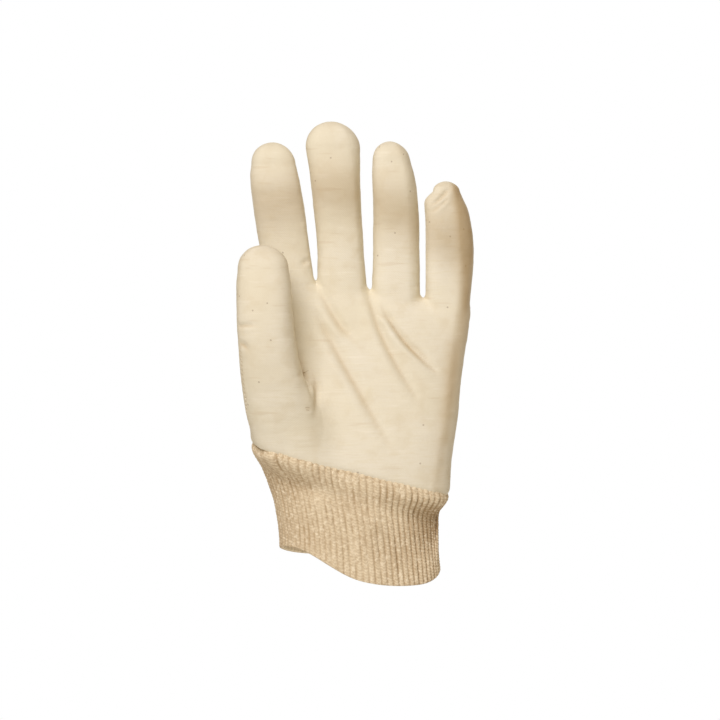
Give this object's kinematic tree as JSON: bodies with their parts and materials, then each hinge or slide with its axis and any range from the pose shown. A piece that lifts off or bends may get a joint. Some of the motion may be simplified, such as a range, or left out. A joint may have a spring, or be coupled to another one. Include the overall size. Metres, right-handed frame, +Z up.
{
  "type": "cotton work glove",
  "caption": "Cotton work glove with a ribbed knit wrist, in the open form a hand fills, thumb in front of the palm and hollow to each fingertip.",
  "frame": {"origin": "middle of the wrist opening at the rim's mean height, where the hand goes in", "axes": "+Z up the fingers, +X to the little-finger side, +Y out of the back of the hand; the palm faces -Y"},
  "size_m": [0.1259, 0.0713, 0.2485],
  "materials": {
    "palm_cloth": "unbleached cotton twill with small brown specks",
    "back_cloth": "unbleached cotton twill with small brown specks",
    "rib_knit": "ribbed cotton knit"
  },
  "bodies": {
    "root": {"palm_panel": "palm_cloth", "back_panel": "back_cloth", "knit_wrist": "rib_knit"}
  },
  "joints": []
}
